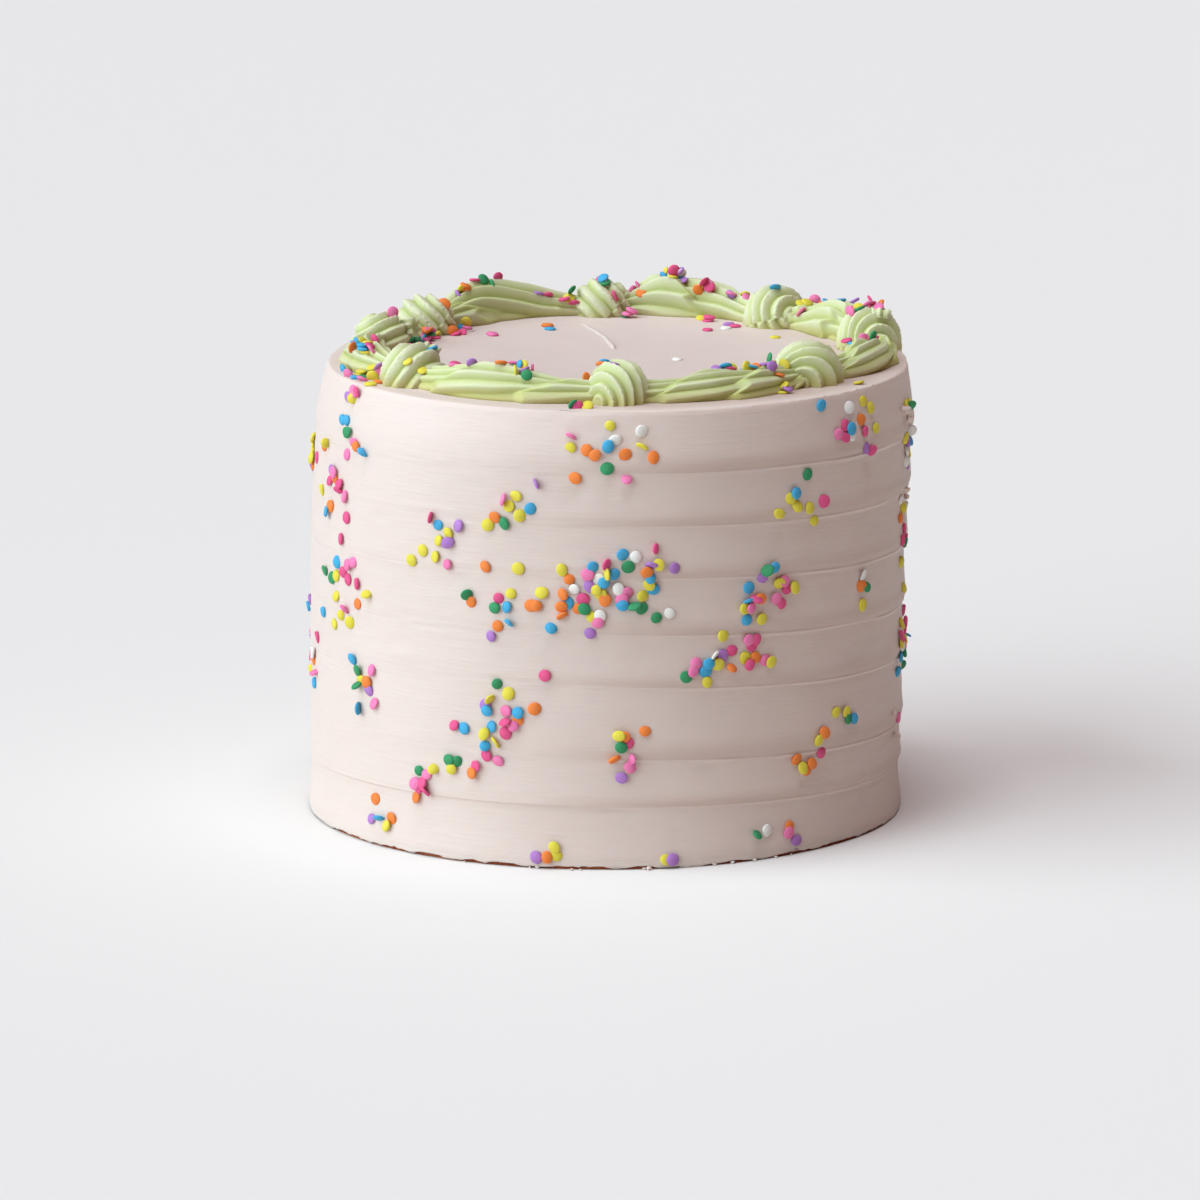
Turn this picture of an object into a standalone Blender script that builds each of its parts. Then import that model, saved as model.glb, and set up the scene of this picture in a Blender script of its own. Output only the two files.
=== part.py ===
"""An 8 inch layer cake: spatula-combed frosting, a piped border and round sugar confetti.

Metres, +Z up, the cake's front towards -Y. The origin is the centre of the base.
"""
import math
import random

import bmesh
import bpy
from mathutils import Matrix, Vector
from mathutils.bvhtree import BVHTree

# Frosted body
MM = 0.001
BASE_RADIUS = 101.6 * MM
CAKE_HEIGHT = 154.0 * MM
BAND_HEIGHTS = [h * MM for h in (20.5, 17.4, 17.2, 18.9, 17.6, 24.8, 16.3, 20.3)]
BAND_ROWS = (0.04, 0.55, 0.82)
BAND_ROLL = BAND_ROWS[-1]
BAND_FLARE = 0.8 * MM
BULGE = 0.6 * MM
SHOULDER_TAPER = 3.4 * MM
BACK_RISE = 2.0 * MM
LEAN = 4.3 * MM
LEAN_POWER = 2.6
TILT = 9.0 * MM
TILT_HIGH_SIDE = math.radians(-110)
SKIRT_HEIGHT = 1.0 * MM
SKIRT_THICKNESS = 0.8 * MM
BODY_SIDES = 48
FLAT_RADIUS = 0.5 * BASE_RADIUS
MERGE_DISTANCE = 0.05 * MM
SMOOTH_ANGLE = math.radians(38)

# Sponge foot
FOOT_HEIGHT = 2.4 * MM
GAP = 0.3 * MM

# Spatula's lift mark on the top
LIFT_MARK = {"start": (-13 * MM, 68 * MM), "end": (-1 * MM, 18 * MM), "width": 2.4 * MM, "height": 0.9 * MM}
MARK_SIDES = 6

# Piped swirls: azimuth in degrees, distance from the top's centre, radius, height
SWIRLS = [
    (-146, 82.5 * MM, 11.4 * MM, 13.6 * MM), (-90, 80 * MM, 10.8 * MM, 13.8 * MM),
    (-34.5, 77 * MM, 12.2 * MM, 13.8 * MM), (14, 89 * MM, 11.4 * MM, 14.6 * MM),
    (50, 86 * MM, 11.4 * MM, 13.6 * MM), (93.5, 88 * MM, 11.0 * MM, 12.2 * MM),
    (142, 85 * MM, 11.4 * MM, 12.8 * MM), (163, 85 * MM, 10.4 * MM, 11.6 * MM),
]
# How each was curled: heading and rise in degrees of the axis that its ridges wind about, ridges from pole to pole,
# curl in ridges a turn, how much closer the ridges crowd on the left than on the right, and how round a crest is
CURLS = [
    (-30, -34, 7, 0.0, 0.0, 1.5), (-132, 2, 9, 0.2, 0.0, 0.9),
    (-103, 3, 10, 0.5, 0.35, 0.9), (-72, 16, 9, 0.6, 0.2, 1.0),
    (-58, 22, 8, 0.5, 0.0, 1.2), (12, 42, 7, 0.2, 0.0, 1.5),
    (14, 44, 8, 0.2, 0.0, 1.6), (-25, -62, 8, 0.0, 0.0, 1.2),
]
RIDGE_DEPTH = 0.14
CREST_SHARE = 0.62
POLE_CREST = 0.6
POLE_SPREAD = 0.35
DOME_POWER = 2.3
SWIRL_ROLLS = 12
SWIRL_ROWS = 26

# Piped garlands: first swirl, last swirl, thickest place between them, height and half-width there, outward bow
GARLANDS = [
    (1, 2, 0.42, 10.6 * MM, 8.8 * MM, 1.0 * MM), (2, 3, 0.50, 8.8 * MM, 8.8 * MM, 1.0 * MM),
    (3, 4, 0.50, 9.4 * MM, 8.6 * MM, 3.0 * MM), (4, 5, 0.45, 12.2 * MM, 8.6 * MM, 1.0 * MM),
    (5, 6, 0.66, 13.4 * MM, 8.8 * MM, 4.0 * MM), (6, 7, 0.64, 13.6 * MM, 8.8 * MM, 3.0 * MM),
    (8, 1, 0.50, 9.0 * MM, 8.4 * MM, 2.4 * MM),
]
THIN_HALF_WIDTH = 5.4 * MM
THIN_HEIGHT = 6.4 * MM
TUCK = 0.35
SHOULDER_POWER = 0.85
GARLAND_STATIONS = 8
SECTION_POINTS = 25
SECTION_RIDGES = 6
SECTION_RIDGE_DEPTH = 0.09
CUTTER_SIDES = 14
CUTTER_LEVELS = (0.0, 0.35, 0.65, 0.85, 0.95, 1.0)
CUTTER_TOP_SHARE = 0.985
CUTTER_MARGIN = 0.7 * MM

# Confetti: a flat round disc, here with six sides
DISC_RADIUS = 2.15 * MM
DISC_THICKNESS = 1.2 * MM
DISC_SIDES = 6
DISC_SINK = 0.05 * MM
STANDING_SHARE = 0.10
LYING_TILT = 24
STANDING_TILT = (48, 70)
TILT_LIFT = 0.45
RIM_CLEARANCE = 2.5 * MM
SCATTER = 0.55
SCATTER_LIMIT = 1.3
KEPT_SHARE = 0.20
DISC_SPACING = 5.0 * MM
GARLAND_DISCS = 3
GARLAND_DISC_SPAN = (0.28, 0.72)
GARLAND_DISC_WIDTH = (0.25, 0.75)
PROBE_STEP = 0.02
# Clusters on the side: azimuth in degrees, then height, half-width, half-height in millimetres, slant and count
SIDE_CLUSTERS = [
    (-89, 140, 17, 10, 0.0, 17), (-42, 142, 17, 13, -0.2, 16), (-49, 116, 13, 10, -0.5, 8),
    (-152, 141, 9, 12, 0.0, 14), (-153, 121, 14, 12, 0.0, 16), (-150, 86, 14, 16, 0.0, 18),
    (-124, 113, 12, 11, 0.4, 12), (-110, 122, 8, 6, 0.3, 10), (-113, 101, 1, 1, 0.0, 1),
    (-83, 105, 9, 6, 0.0, 9), (-109, 89, 11, 12, 0.0, 14), (-94, 91, 14, 10, 0.3, 32),
    (-83, 90, 7, 10, 0.0, 14), (-102, 66, 1, 1, 0.0, 1), (-60, 90, 13, 7, 0.2, 18),
    (-70, 69, 10, 7, 0.0, 14), (-60, 71, 9, 6, 0.0, 10), (-33, 86, 2, 10, 0.0, 4),
    (-13, 134, 4, 15, 0.0, 11), (-13, 98, 4, 18, 0.0, 11), (-12, 50, 4, 22, 0.0, 13),
    (-142, 56, 9, 8, 0.0, 10), (-168, 52, 8, 12, 0.0, 6), (-110, 54, 9, 6, 0.0, 10),
    (-114, 41, 11, 8, 0.5, 18), (-126, 27, 12, 6, 0.4, 12), (-138, 10, 9, 5, 0.0, 6),
    (-86, 45, 5, 13, 0.0, 9), (-39, 45, 6, 6, 0.0, 5), (-46, 33, 7, 9, 0.0, 8),
    (-102, 5, 9, 2, 0.0, 6), (-78, 4, 5, 2, 0.0, 4), (-54, 8, 13, 4, 0.0, 8),
]
# Clusters on the side that is turned away, with the limits of height, half-width, half-height and slant
BACK_CLUSTERS = 15
BACK_AZIMUTHS = (2, 186)
BACK_LIMITS = [(15, 140), (8, 16), (6, 14), (-0.4, 0.4)]
BACK_COUNTS = (8, 18)
# Confetti on the flat top: azimuth in degrees, distance and spread in millimetres, count
TOP_CLUSTERS = [(133, 58, 5, 2), (58, 66, 9, 4), (36, 68, 2, 1), (1, 20, 1, 1), (112, 66, 5, 2), (-120, 60, 6, 2)]
SEEDS = {"side": 1000, "back": 7, "top": 55, "garland": 100, "spin": 21, "garland_spin": 60}

FROSTING = (0.89, 0.83, 0.79)
PIPED_GREEN = (0.70, 0.82, 0.50)
SPONGE = (0.55, 0.27, 0.19)


def clear_scene():
    for thing in list(bpy.data.objects):
        bpy.data.objects.remove(thing, do_unlink=True)


def material(name, colour, roughness):
    """A matt food surface of one colour."""
    made = bpy.data.materials.new(name)
    made.use_nodes = True
    shader = made.node_tree.nodes["Principled BSDF"]
    shader.inputs["Base Color"].default_value = (*colour, 1.0)
    shader.inputs["Roughness"].default_value = roughness
    shader.inputs["Metallic"].default_value = 0.0
    return made


def new_collection(name):
    made = bpy.data.collections.new(name)
    bpy.context.scene.collection.children.link(made)
    return made


def object_from_mesh(name, mesh, collection, finish=None):
    made = bpy.data.objects.new(name, mesh)
    collection.objects.link(made)
    if finish:
        mesh.materials.clear()
        mesh.materials.append(finish)
    return made


def lean(height):
    """How far the cake leans towards +X at a height."""
    return LEAN * (max(height, 0.0) / CAKE_HEIGHT) ** LEAN_POWER


def back_rise(depth):
    """How far the top stands above its front half at a depth behind the middle."""
    return BACK_RISE * max(0.0, depth) / BASE_RADIUS


def band_tilt(height, azimuth):
    """The bands run a little downhill round the cake, most at mid height."""
    depth = max(0.0, min(1.0, 1 - height / CAKE_HEIGHT))
    swing = 1 - math.cos(azimuth - TILT_HIGH_SIDE)
    return -TILT * math.sin(math.pi * depth ** 1.3) * swing / (1 + swing ** 2 / 4)


def side_radius(height):
    """Radius at a height before the bands tilt: each band flares towards a lip at its lower edge."""
    top = CAKE_HEIGHT
    for index, band in enumerate(BAND_HEIGHTS):
        down = (top - height) / band
        if down <= 1.0 or index == len(BAND_HEIGHTS) - 1:
            break
        top -= band
    down = max(0.0, min(1.0, down))
    flare = 2 * min(down, BAND_ROLL) ** 2 - 1
    if index < len(BAND_HEIGHTS) - 1:
        flare -= (flare + 1) * max(0.0, (down - BAND_ROLL) / (1 - BAND_ROLL)) ** 2
    radius = BASE_RADIUS + BULGE * height / CAKE_HEIGHT + BAND_FLARE * flare
    if index == 0:
        radius -= SHOULDER_TAPER * (1 - down) ** 1.5 - BAND_FLARE * (1 - down)
    return radius


def body_profile():
    """Radius and height from the top's centre, over the rim and down the bands, to the underside's centre."""
    points = [(0.0, CAKE_HEIGHT), (side_radius(CAKE_HEIGHT), CAKE_HEIGHT)]
    top = CAKE_HEIGHT
    for band in BAND_HEIGHTS:
        points += [(side_radius(top - down * band), top - down * band) for down in BAND_ROWS]
        top -= band
    points.append((side_radius(SKIRT_HEIGHT), SKIRT_HEIGHT))
    inner = side_radius(SKIRT_HEIGHT) - SKIRT_THICKNESS
    return points + [(inner, SKIRT_HEIGHT), (inner, FOOT_HEIGHT + GAP), (0.0, FOOT_HEIGHT + GAP)]


def turned_mesh(profile, steps):
    """A closed mesh turned from a profile with a Screw modifier."""
    outline = bmesh.new()
    corners = [outline.verts.new((radius, 0.0, height)) for radius, height in profile]
    for first, second in zip(corners, corners[1:]):
        outline.edges.new((first, second))
    mesh = bpy.data.meshes.new("turned_profile")
    outline.to_mesh(mesh)
    outline.free()
    turned = object_from_mesh("turned_profile", mesh, bpy.context.scene.collection)
    screw = turned.modifiers.new("turn", "SCREW")
    screw.axis = "Z"
    screw.angle = 2 * math.pi
    screw.steps = screw.render_steps = steps
    screw.use_merge_vertices = True
    screw.merge_threshold = MERGE_DISTANCE
    return baked(turned)


def baked(thing):
    """The object's mesh with its modifiers applied; the object itself is removed."""
    graph = bpy.context.evaluated_depsgraph_get()
    graph.update()
    mesh = bpy.data.meshes.new_from_object(thing.evaluated_get(graph))
    bpy.data.objects.remove(thing, do_unlink=True)
    return mesh


def loft(name, rings, points, place, collection, finish):
    """A capped circle extruded ring by ring; place(ring, point) says where each corner goes."""
    form = bmesh.new()
    bmesh.ops.create_circle(form, cap_ends=True, segments=points, radius=1.0)
    form.faces.ensure_lookup_table()
    cap = form.faces[0]
    for ring in range(rings):
        if ring:
            covered = cap
            grown = bmesh.ops.extrude_face_region(form, geom=[covered])
            cap = next(part for part in grown["geom"] if isinstance(part, bmesh.types.BMFace))
        if ring > 1:
            bmesh.ops.delete(form, geom=[covered], context="FACES_ONLY")
        for point, corner in enumerate(cap.verts):
            corner.co = place(ring, point)
    bmesh.ops.recalc_face_normals(form, faces=form.faces)
    mesh = bpy.data.meshes.new(name)
    form.to_mesh(mesh)
    form.free()
    return object_from_mesh(name, mesh, collection, finish)


def swirl_centre(number):
    azimuth, distance = SWIRLS[number - 1][:2]
    angle = math.radians(azimuth)
    return Vector((distance * math.cos(angle) + LEAN, distance * math.sin(angle), CAKE_HEIGHT + GAP))


def star_ridge(turns, roundness):
    """Height of a star nozzle's ridge, from 0 in a groove to 1 on the crest; turns counts ridges."""
    share = turns % 1.0
    climb = share / CREST_SHARE if share < CREST_SHARE else (1 - share) / (1 - CREST_SHARE)
    return 1 - max(0.0, 1 - climb) ** roundness


def ease(value, start, end):
    """A smooth step from 0 at start to 1 at end."""
    share = max(0.0, min(1.0, (value - start) / (end - start)))
    return share * share * (3 - 2 * share)


def curl_axis(number):
    heading, rise = (math.radians(angle) for angle in CURLS[number - 1][:2])
    return Vector((math.cos(heading) * math.cos(rise), math.sin(heading) * math.cos(rise), math.sin(rise)))


def make_swirl(number, collection, finish):
    """A dome cut from a sphere whose ridges wind about a lying axis, as the cream curled over itself."""
    radius, height = SWIRLS[number - 1][2:4]
    ridges, curl, crowding, roundness = CURLS[number - 1][2:]
    turn = curl_axis(number).to_track_quat("Z", "Y").to_matrix()
    centre = swirl_centre(number)
    form = bmesh.new()
    bmesh.ops.create_uvsphere(form, u_segments=SWIRL_ROLLS, v_segments=SWIRL_ROWS, radius=1.0)
    for corner in form.verts:
        out = turn @ corner.co
        polar = math.acos(max(-1.0, min(1.0, corner.co.z)))
        roll = math.atan2(corner.co.y, corner.co.x) / (2 * math.pi)
        crest = star_ridge(ridges * polar / math.pi * (1 - crowding * out.x) + curl * roll, roundness)
        crest = POLE_CREST + (crest - POLE_CREST) * ease(math.sin(polar), 0.0, POLE_SPREAD)
        bulk = (math.hypot(out.x, out.y) / radius) ** DOME_POWER + (abs(out.z) / height) ** DOME_POWER
        corner.co = centre + out * (1 - RIDGE_DEPTH * (1 - crest)) / bulk ** (1 / DOME_POWER)
    whole = form.verts[:] + form.edges[:] + form.faces[:]
    cut = bmesh.ops.bisect_plane(form, geom=whole, plane_co=centre, plane_no=(0, 0, 1), clear_inner=True)
    rim = [part for part in cut["geom_cut"] if isinstance(part, bmesh.types.BMEdge)]
    bmesh.ops.edgeloop_fill(form, edges=rim)
    for corner in form.verts:
        corner.co.z += back_rise(corner.co.y)
    bmesh.ops.recalc_face_normals(form, faces=form.faces)
    mesh = bpy.data.meshes.new(f"swirl_{number}")
    form.to_mesh(mesh)
    form.free()
    return object_from_mesh(f"swirl_{number}", mesh, collection, finish)


def garland_point(number, along, across):
    """A point on a garland: along runs 0 to 1 between its two swirls, across 0 to 1 over its ridged back."""
    first, last, thickest, thick_height, thick_half_width, bow = GARLANDS[number - 1]
    start_azimuth, start_distance, start_radius = SWIRLS[first - 1][:3]
    end_azimuth, end_distance, end_radius = SWIRLS[last - 1][:3]
    span = math.radians((end_azimuth - start_azimuth) % 360)
    away = (thickest - along) / thickest if along < thickest else (along - thickest) / (1 - thickest)
    swell = (1 + math.cos(math.pi * away)) / 2
    half_width = THIN_HALF_WIDTH + (thick_half_width - THIN_HALF_WIDTH) * swell
    height = THIN_HEIGHT + (thick_height - THIN_HEIGHT) * swell
    turn = math.pi * across
    ridge = 1 + SECTION_RIDGE_DEPTH * math.cos(2 * math.pi * SECTION_RIDGES * across)
    line = start_distance + (end_distance - start_distance) * along + bow * math.sin(math.pi * along)
    start = math.radians(start_azimuth) + TUCK * start_radius / line
    end = math.radians(start_azimuth) + span - TUCK * end_radius / line
    angle = start + (end - start) * along
    reach = line - half_width * math.cos(turn) * ridge
    up = height * math.sin(turn) ** SHOULDER_POWER * ridge if 0 < across < 1 else 0.0
    depth = reach * math.sin(angle)
    return Vector((reach * math.cos(angle) + LEAN, depth, CAKE_HEIGHT + GAP + back_rise(depth) + up))


def make_swirl_cutter(number, collection):
    """A swirl's own dome with room round it, which hollows the ends of the garlands beside it."""
    radius, height = SWIRLS[number - 1][2:4]
    centre = swirl_centre(number)

    def place(ring, point):
        rise = CUTTER_LEVELS[ring]
        angle = 2 * math.pi * point / CUTTER_SIDES
        reach = radius * (1 - (rise * CUTTER_TOP_SHARE) ** DOME_POWER) ** (1 / DOME_POWER) + CUTTER_MARGIN
        depth = centre.y + reach * math.sin(angle)
        level = (height + CUTTER_MARGIN) * rise - (CUTTER_MARGIN if ring == 0 else 0.0)
        return Vector((centre.x + reach * math.cos(angle), depth, centre.z + level + back_rise(depth)))

    cutter = loft(f"swirl_cutter_{number}", len(CUTTER_LEVELS), CUTTER_SIDES, place, collection, None)
    cutter.hide_render = True
    cutter.display_type = "WIRE"
    return cutter


def make_garland(number, collection, finish):
    """A rope with lengthwise ridges, thickest part way along, its ends hollowed to fit the swirls beside it."""
    def place(ring, point):
        return garland_point(number, ring / (GARLAND_STATIONS - 1), point / (SECTION_POINTS - 1))

    garland = loft(f"garland_{number}", GARLAND_STATIONS, SECTION_POINTS, place, collection, finish)
    cutters = new_collection(f"garland_cutters_{number}")
    for swirl in GARLANDS[number - 1][:2]:
        make_swirl_cutter(swirl, cutters)
    return join_all(garland, cutters, "DIFFERENCE", finish)


def garland_discs(number):
    """Places and outward directions of the confetti on a garland's back."""
    draw = random.Random(SEEDS["garland"] + number)
    nearest, farthest = GARLAND_DISC_SPAN
    found = []
    for index in range(GARLAND_DISCS):
        along = nearest + (farthest - nearest) * (index + draw.random()) / GARLAND_DISCS
        across = draw.uniform(*GARLAND_DISC_WIDTH)
        here = garland_point(number, along, across)
        forward = garland_point(number, along + PROBE_STEP, across) - here
        sideways = garland_point(number, along, across + PROBE_STEP) - here
        outward = sideways.cross(forward).normalized()
        found.append((here, outward if outward.z > 0 else -outward, 0.0))
    return found


def side_discs(surface):
    """Places, outward directions and tilts of the confetti on the side, a share of each cluster."""
    kept = []
    back = random.Random(SEEDS["back"])
    first, last = BACK_AZIMUTHS
    clusters = list(SIDE_CLUSTERS)
    for index in range(BACK_CLUSTERS):
        azimuth = first + (last - first) * index / (BACK_CLUSTERS - 1)
        measures = [back.uniform(*limits) for limits in BACK_LIMITS]
        clusters.append((azimuth, *measures, back.randint(*BACK_COUNTS)))
    for seed, (azimuth, height, half_width, half_height, slant, count) in enumerate(clusters):
        draw = random.Random(SEEDS["side"] + seed)
        wanted = max(1, round(KEPT_SHARE * count))
        for index in range(count):
            across = max(-SCATTER_LIMIT, min(SCATTER_LIMIT, draw.gauss(0, SCATTER))) * half_width * MM
            rise = max(-SCATTER_LIMIT, min(SCATTER_LIMIT, draw.gauss(0, SCATTER))) * half_height * MM
            rise += slant * across
            upright = draw.random() < STANDING_SHARE
            angle = math.radians(azimuth) + across / BASE_RADIUS
            level = min(max(height * MM + rise, DISC_RADIUS + SKIRT_HEIGHT), CAKE_HEIGHT - RIM_CLEARANCE)
            outward = Vector((math.cos(angle), math.sin(angle), 0.0))
            outside = Vector((lean(level), 0.0, level)) + 2 * BASE_RADIUS * outward
            here = surface.ray_cast(outside, -outward)[0]
            tilt = math.radians(draw.uniform(*STANDING_TILT) if upright else draw.uniform(-LYING_TILT, LYING_TILT))
            clear = all((here - other).length > DISC_SPACING for other, facing, turned in kept)
            if wanted and clear:
                kept.append((here, outward, tilt))
                wanted -= 1
    return kept


def top_discs():
    """Places of the few confetti that lie on the flat top, clear of the border."""
    draw = random.Random(SEEDS["top"])
    found = []
    for azimuth, distance, spread, count in TOP_CLUSTERS:
        for index in range(count):
            angle = math.radians(azimuth)
            here = Vector((distance * math.cos(angle) + draw.uniform(-spread, spread),
                           distance * math.sin(angle) + draw.uniform(-spread, spread), 0.0)) * MM
            here += Vector((LEAN, 0.0, CAKE_HEIGHT + back_rise(here.y)))
            if all((here - other).length > DISC_SPACING for other, facing, turned in found):
                found.append((here, Vector((0.0, 0.0, 1.0)), 0.0))
    return found


def make_disc(name, place, outward, tilt, spin, collection):
    """One confetti disc set half into the surface that carries it."""
    form = bmesh.new()
    bmesh.ops.create_cone(form, cap_ends=True, segments=DISC_SIDES, radius1=DISC_RADIUS, radius2=DISC_RADIUS,
                          depth=DISC_THICKNESS)
    stand = outward.to_track_quat("Z", "Y").to_matrix().to_4x4()
    lift = DISC_SINK + TILT_LIFT * DISC_RADIUS * abs(math.sin(tilt))
    turn = Matrix.Rotation(spin, 4, "Z") @ Matrix.Rotation(tilt, 4, "X")
    bmesh.ops.transform(form, matrix=Matrix.Translation(place + outward * lift) @ stand @ turn, verts=form.verts)
    mesh = bpy.data.meshes.new(name)
    form.to_mesh(mesh)
    form.free()
    return object_from_mesh(name, mesh, collection)


def make_lift_mark(collection):
    """The low pointed ridge that the spatula left on the top as it was lifted away."""
    start = Vector((*LIFT_MARK["start"], 0.0))
    end = Vector((*LIFT_MARK["end"], 0.0))
    form = bmesh.new()
    bmesh.ops.create_cone(form, cap_ends=True, segments=MARK_SIDES, radius1=LIFT_MARK["width"] / 2,
                          radius2=LIFT_MARK["width"] / 5, depth=(end - start).length)
    stand = (start - end).to_track_quat("Z", "Y").to_matrix().to_4x4()
    bmesh.ops.transform(form, matrix=stand, verts=form.verts)
    bmesh.ops.scale(form, vec=(1.0, 1.0, 2 * LIFT_MARK["height"] / LIFT_MARK["width"]), verts=form.verts)
    bmesh.ops.translate(form, vec=(start + end) / 2 + Vector((LEAN, 0.0, CAKE_HEIGHT)), verts=form.verts)
    for corner in form.verts:
        corner.co.z += back_rise(corner.co.y)
    mesh = bpy.data.meshes.new("lift_mark")
    form.to_mesh(mesh)
    form.free()
    return object_from_mesh("lift_mark", mesh, collection)


def join_all(thing, others, operation, finish):
    """Joins to a body, or cuts from it, all of a collection's shapes with one Boolean, and removes them."""
    join = thing.modifiers.new(others.name, "BOOLEAN")
    join.operation = operation
    join.operand_type = "COLLECTION"
    join.collection = others
    join.solver = "MANIFOLD"
    name = thing.name
    home = thing.users_collection[0]
    mesh = baked(thing)
    for other in list(others.objects):
        bpy.data.objects.remove(other, do_unlink=True)
    bpy.data.collections.remove(others)
    mesh.name = name
    return object_from_mesh(name, mesh, home, finish)


def add_discs(discs, seed, collection):
    draw = random.Random(seed)
    for index, (place, outward, tilt) in enumerate(discs):
        make_disc(f"disc_{index}", place, outward, tilt, draw.uniform(0, 2 * math.pi), collection)


def make_body(collection, finish):
    """The frosted cake: turned, then leaned and its bands tilted, with its confetti fused on."""
    mesh = turned_mesh(body_profile(), BODY_SIDES)
    for corner in mesh.vertices:
        radius = math.hypot(corner.co.x, corner.co.y)
        outside = corner.co.z > FOOT_HEIGHT + 2 * GAP or radius > side_radius(SKIRT_HEIGHT) - 0.5 * SKIRT_THICKNESS
        if outside:
            height = corner.co.z
            if radius > FLAT_RADIUS:
                corner.co.z += band_tilt(height, math.atan2(corner.co.y, corner.co.x))
            corner.co.z += back_rise(corner.co.y) * max(0.0, 1 - (CAKE_HEIGHT - height) / BAND_HEIGHTS[0])
            corner.co.x += lean(height)
    body = object_from_mesh("frosted_cake", mesh, collection, finish)
    toppings = new_collection("body_toppings")
    surface = BVHTree.FromObject(body, bpy.context.evaluated_depsgraph_get())
    add_discs(side_discs(surface) + top_discs(), SEEDS["spin"], toppings)
    make_lift_mark(toppings)
    return join_all(body, toppings, "UNION", finish)


def make_foot(collection, finish):
    """The lowest sponge, which shows as a thin line under the frosting's edge."""
    bpy.ops.mesh.primitive_cylinder_add(vertices=BODY_SIDES, depth=FOOT_HEIGHT, location=(0, 0, FOOT_HEIGHT / 2),
                                        radius=side_radius(SKIRT_HEIGHT) - SKIRT_THICKNESS - GAP)
    foot = bpy.context.object
    foot.name = foot.data.name = "sponge_foot"
    foot.data.materials.append(finish)
    for other in list(foot.users_collection):
        other.objects.unlink(foot)
    collection.objects.link(foot)
    return foot


def smooth(thing):
    thing.data.shade_smooth()
    thing.data.set_sharp_from_angle(angle=SMOOTH_ANGLE)


def build():
    clear_scene()
    cake = new_collection("layer_cake")
    frosting = material("frosting", FROSTING, 0.55)
    sponge = material("sponge", SPONGE, 0.9)
    pieces = [make_foot(cake, sponge), make_body(cake, frosting)]
    for number in range(1, len(SWIRLS) + 1):
        pieces.append(make_swirl(number, cake, material(f"swirl_green_{number}", PIPED_GREEN, 0.5)))
    for number in range(1, len(GARLANDS) + 1):
        green = material(f"garland_green_{number}", PIPED_GREEN, 0.5)
        garland = make_garland(number, cake, green)
        toppings = new_collection(f"garland_toppings_{number}")
        add_discs(garland_discs(number), SEEDS["garland_spin"] + number, toppings)
        pieces.append(join_all(garland, toppings, "UNION", green))
    for piece in pieces:
        smooth(piece)


build()
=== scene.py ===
"""Looks of an 8 inch layer cake: spatula-combed buttercream, a piped green border and sugar confetti."""
import math
import random

import bmesh
import bpy
from mathutils import Matrix, Vector, noise
from mathutils.bvhtree import BVHTree


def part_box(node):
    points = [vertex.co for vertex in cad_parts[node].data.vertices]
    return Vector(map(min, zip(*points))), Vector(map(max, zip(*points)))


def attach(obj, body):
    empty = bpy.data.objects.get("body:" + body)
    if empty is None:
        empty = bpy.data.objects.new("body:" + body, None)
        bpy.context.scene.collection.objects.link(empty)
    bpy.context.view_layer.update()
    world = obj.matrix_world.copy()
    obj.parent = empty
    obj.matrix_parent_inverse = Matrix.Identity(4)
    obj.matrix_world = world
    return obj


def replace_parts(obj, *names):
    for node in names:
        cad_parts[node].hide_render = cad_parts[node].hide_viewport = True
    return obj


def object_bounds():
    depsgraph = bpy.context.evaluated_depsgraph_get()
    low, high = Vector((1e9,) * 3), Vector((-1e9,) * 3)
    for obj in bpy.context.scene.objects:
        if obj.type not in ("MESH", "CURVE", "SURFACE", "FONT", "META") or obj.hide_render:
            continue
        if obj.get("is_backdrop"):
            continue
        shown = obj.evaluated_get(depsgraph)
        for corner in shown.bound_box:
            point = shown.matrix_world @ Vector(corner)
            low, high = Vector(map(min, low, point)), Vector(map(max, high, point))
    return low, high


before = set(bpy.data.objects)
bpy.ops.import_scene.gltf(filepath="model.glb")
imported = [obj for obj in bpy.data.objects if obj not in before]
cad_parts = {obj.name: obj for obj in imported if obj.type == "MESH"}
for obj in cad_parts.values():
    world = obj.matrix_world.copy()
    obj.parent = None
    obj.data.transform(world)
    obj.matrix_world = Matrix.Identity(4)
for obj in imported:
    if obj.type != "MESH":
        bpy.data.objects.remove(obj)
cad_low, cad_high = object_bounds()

# Camera: a long lens, a little above the cake's top and looking down on it.
# The whole cake stands in the middle of a square picture.
MM = 0.001
CAMERA_PLACE = (-1.7 * MM, -2485.7 * MM, 581.15 * MM)
CAMERA_PITCH = math.radians(11.61)
FOCAL_LENGTH = 222.0
SENSOR_WIDTH = 36.0

lens = bpy.data.cameras.new("camera")
lens.lens = FOCAL_LENGTH
lens.sensor_width = SENSOR_WIDTH
lens.clip_end = 50.0
camera = bpy.data.objects.new("camera", lens)
camera.location = CAMERA_PLACE
camera.rotation_euler = (math.pi / 2 - CAMERA_PITCH, 0.0, 0.0)
bpy.context.scene.collection.objects.link(camera)
bpy.context.scene.camera = camera
bpy.context.scene.view_settings.view_transform = "Standard"


# Studio: a wide pale floor under two broad lamps, one low on the left and a softer one overhead.
# The shaded right side keeps a warm tone, as cream does where light only reaches it off other surfaces.
FLOOR_SIZE = 14.0
# Azimuth and elevation in degrees, spread in degrees, strength, colour
LAMPS = [(-156, 25, 72, 3.76, (0.80, 0.985, 1.06)), (-100, 84, 34, 1.72, (0.97, 1.03, 1.15))]
SKY = (0.115, 0.042, 0.017)


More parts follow.
